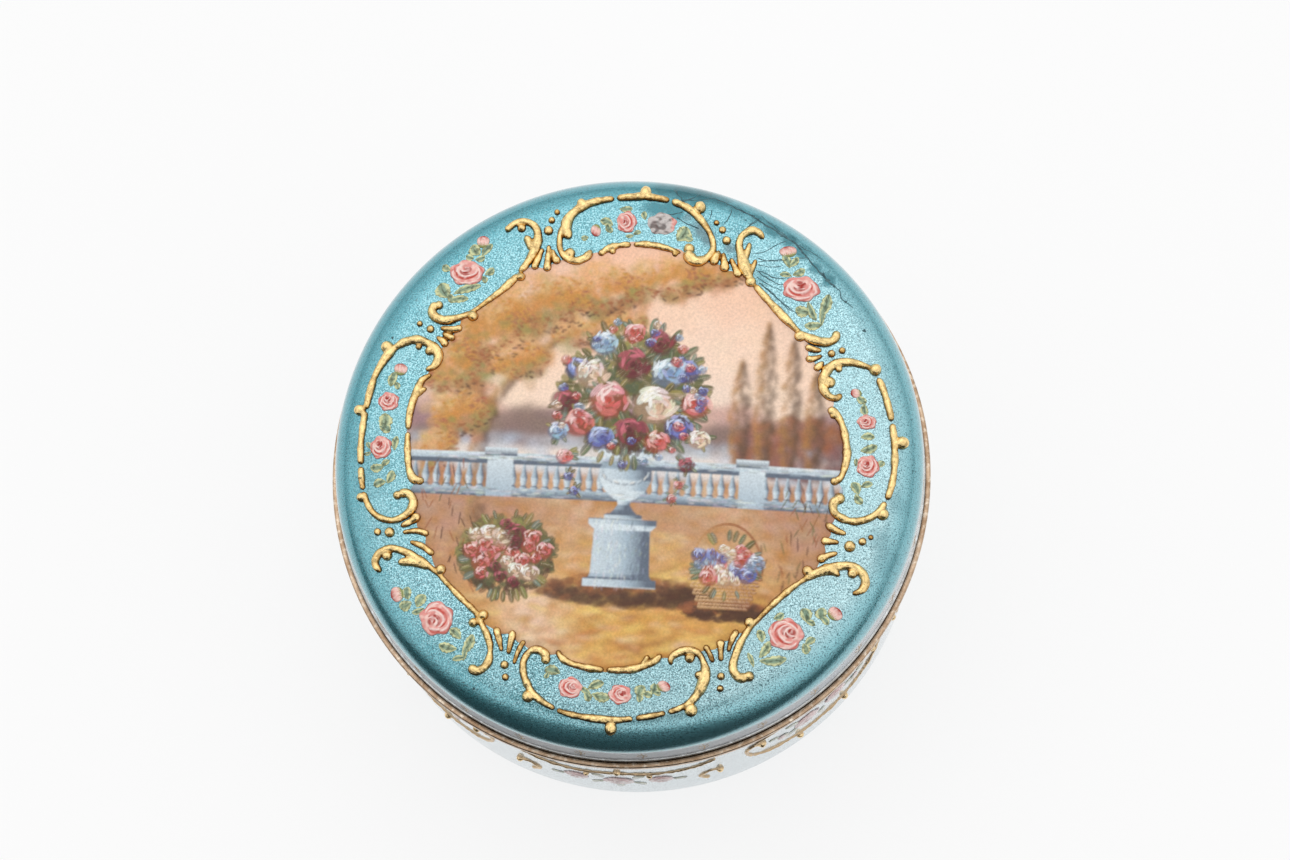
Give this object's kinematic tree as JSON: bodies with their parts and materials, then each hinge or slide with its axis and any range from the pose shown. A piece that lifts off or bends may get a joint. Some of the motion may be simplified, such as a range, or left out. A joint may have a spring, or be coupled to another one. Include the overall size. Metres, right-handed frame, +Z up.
{
  "type": "lidded box",
  "caption": "Round enamelled metal box with a lift-off domed lid, gilt rims, an inner collar, a painted medallion and a raised gold rococo border.",
  "frame": {"origin": "middle of the flat underside of the base, in the plane that the box stands on", "axes": "+Z up through the middle of the lid, -Y towards the viewer of the picture, +X to the viewer's right"},
  "size_m": [0.075, 0.075, 0.0407],
  "materials": {
    "turquoise_enamel": "turquoise vitreous enamel over grained foil, under a glossy clear coat",
    "copper": "bare turned copper, hidden between enamel layers",
    "lining_enamel": "pale glossy counter enamel",
    "gilt_metal": "worn satin gilding on turned metal",
    "painted_enamel": "painted enamel under a clear glossy flux",
    "raised_gold": "raised gold with dark creases"
  },
  "bodies": {
    "base": {"base_enamel": "turquoise_enamel", "base_copper_shell": "copper", "base_lining": "lining_enamel", "base_rim": "gilt_metal", "fitting_collar": "gilt_metal", "gold_wall_frame_1": "raised_gold", "gold_wall_frame_2": "raised_gold", "gold_wall_frame_3": "raised_gold", "gold_wall_frame_4": "raised_gold"},
    "lid": {"lid_enamel": "turquoise_enamel", "lid_copper_shell": "copper", "lid_lining": "lining_enamel", "lid_rim": "gilt_metal", "medallion": "painted_enamel", "gold_frame_back": "raised_gold", "gold_frame_right": "raised_gold", "gold_frame_front": "raised_gold", "gold_frame_left": "raised_gold", "gold_arc_back": "raised_gold", "gold_arc_right": "raised_gold", "gold_arc_front": "raised_gold", "gold_arc_left": "raised_gold", "gold_scroll_back_left": "raised_gold", "gold_scroll_back_right": "raised_gold", "gold_scroll_front_right": "raised_gold", "gold_scroll_front_left": "raised_gold", "gold_fan_back_left": "raised_gold", "gold_fan_back_right": "raised_gold", "gold_fan_right_back": "raised_gold", "gold_fan_right_front": "raised_gold", "gold_fan_front_right": "raised_gold", "gold_fan_front_left": "raised_gold", "gold_fan_left_front": "raised_gold", "gold_fan_left_back": "raised_gold", "gold_bead_back_left_1": "raised_gold", "gold_bead_back_left_2": "raised_gold", "gold_bead_back_right_1": "raised_gold", "gold_bead_back_right_2": "raised_gold", "gold_bead_right_back_1": "raised_gold", "gold_bead_right_front_1": "raised_gold", "gold_bead_right_front_2": "raised_gold", "gold_bead_front_right_1": "raised_gold", "gold_bead_front_left_1": "raised_gold", "gold_bead_left_front_1": "raised_gold", "gold_bead_left_back_1": "raised_gold"}
  },
  "joints": [
    {"name": "lid_lift", "type": "slide", "parent": "base", "child": "lid", "axis": [0, 0, 1], "range_m": [0, 0.05]}
  ]
}
